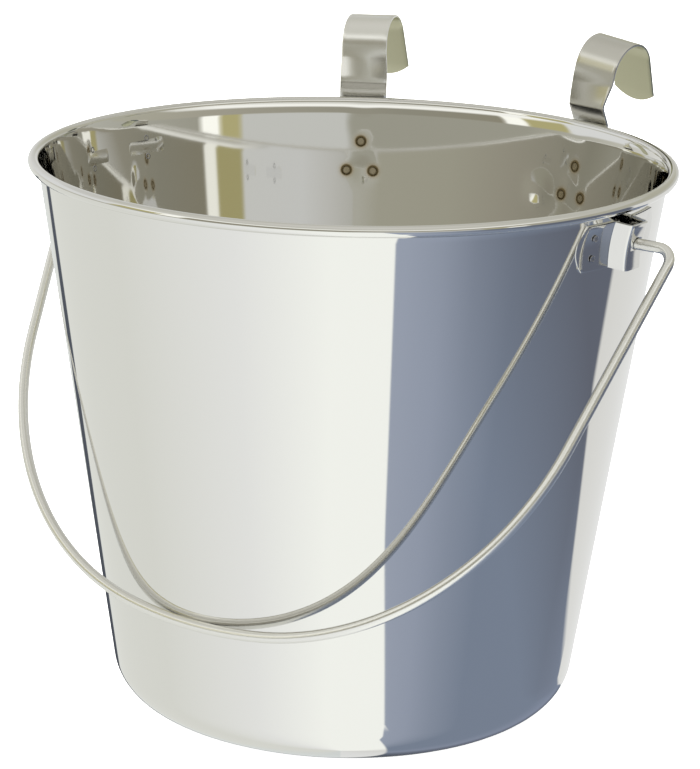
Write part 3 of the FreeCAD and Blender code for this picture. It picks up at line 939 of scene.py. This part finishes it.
def over(factor, first, second):
    """The first colour where the factor is 0, the second where it is 1."""
    node = tree.nodes.new("ShaderNodeMix")
    node.data_type = "RGBA"
    tree.links.new(factor, node.inputs[0])
    tree.links.new(first, node.inputs[6])
    tree.links.new(second, node.inputs[7])
    return node.outputs[2]


# A dark cloth lies over the right of the table, and a dark card stands behind it on the left
steeply_down = maths(tree, "SUBTRACT", 1.0, above(-40.0, 1.0))
corner_edge = maths(tree, "MULTIPLY", steeply_down, beyond(1.0, -0.43, 0.0, 0.006))
cloth_left = maths(tree, "MULTIPLY", beyond(1.0, -0.175, -0.20, 0.006),
                   maths(tree, "MAXIMUM", beyond(1.0, 0.26, -0.776, 0.006), corner_edge))
cloth_back = maths(tree, "MAXIMUM", beyond(0.331, 1.0, 0.461, 0.02),
                   beyond(-0.881, 1.0, 2.721, 0.02))
cloth = maths(tree, "MULTIPLY", cloth_left, cloth_back)
card = maths(tree, "MULTIPLY", beyond(0.89, -1.0, -1.337, 0.012),
             beyond(-0.60, 1.0, 2.30, 0.012))
dark = over(above(-28.0, 4.0), dark_ring, far_dark_ring)
studio = over(maths(tree, "MAXIMUM", cloth, card), pale_ring, dark)
# The rings of cards above the table: each one's lower edge and how soft it is, in degrees
for ring, lower_edge, softness in ((low_ring, -1.0, 0.8), (mid_ring, 9.0, 1.5),
                                   (bright_ring, 28.0, 2.5), (high_ring, 40.0, 5.0),
                                   (zenith, 66.0, 8.0)):
    studio = over(above(lower_edge, softness), studio, ring)
surround = tree.nodes.new("ShaderNodeBackground")
tree.links.new(studio, surround.inputs["Color"])
backdrop = tree.nodes.new("ShaderNodeBackground")
backdrop.inputs["Color"].default_value = (1, 1, 1, 1)
backdrop.inputs["Strength"].default_value = 1.0
seen = tree.nodes.new("ShaderNodeLightPath")
choice = tree.nodes.new("ShaderNodeMixShader")
tree.links.new(seen.outputs["Is Camera Ray"], choice.inputs[0])
tree.links.new(surround.outputs[0], choice.inputs[1])
tree.links.new(backdrop.outputs[0], choice.inputs[2])
output = tree.nodes.new("ShaderNodeOutputWorld")
tree.links.new(choice.outputs[0], output.inputs["Surface"])

# The table: one pale sweep, too matt to be told from the wall behind it
bpy.ops.object.select_all(action="DESELECT")
bpy.ops.mesh.primitive_circle_add(vertices=96, radius=14.0, fill_type="NGON", location=(0, 0, 0))
floor = bpy.context.object
floor.name = "floor"
paper = bpy.data.materials.new("pale_paper")
paper.use_nodes = True
matt = paper.node_tree.nodes["Principled BSDF"]
matt.inputs["Base Color"].default_value = (0.92, 0.92, 0.92, 1)
matt.inputs["Roughness"].default_value = 1.0
matt.inputs["Specular IOR Level"].default_value = 0.0
matt.inputs["Emission Color"].default_value = (1, 1, 1, 1)
matt.inputs["Emission Strength"].default_value = 0.75
floor.data.materials.append(paper)
floor.visible_glossy = False

for name, tilt, turn, power in (("overhead_light", 12, 200, 3.4), ("side_light", 48, 320, 1.6)):
    lamp = bpy.data.lights.new(name, "SUN")
    lamp.energy = power
    lamp.angle = math.radians(110)
    light = bpy.data.objects.new(name, lamp)
    light.rotation_euler = (math.radians(tilt), 0, math.radians(turn))
    light.visible_glossy = False
    bpy.context.scene.collection.objects.link(light)

# The camera
camera_data = bpy.data.cameras.new("camera")
camera_data.sensor_width = 36.0
camera_data.lens = 131.03
camera = bpy.data.objects.new("camera", camera_data)
bpy.context.scene.collection.objects.link(camera)
back = Vector((math.sin(camera_azimuth) * math.cos(camera_elevation),
               -math.cos(camera_azimuth) * math.cos(camera_elevation), math.sin(camera_elevation)))
right = Vector((math.cos(camera_azimuth), math.sin(camera_azimuth), 0))
up = back.cross(right)
target = Vector((0, 0, 0.1501)) + right * 0.00063
across = right * math.cos(camera_roll) + up * math.sin(camera_roll)
upward = up * math.cos(camera_roll) - right * math.sin(camera_roll)
camera.matrix_world = (Matrix.Translation(target + back * camera_distance)
                       @ Matrix((across, upward, back)).transposed().to_4x4())
bpy.context.scene.camera = camera
bpy.context.scene.view_settings.view_transform = "Standard"
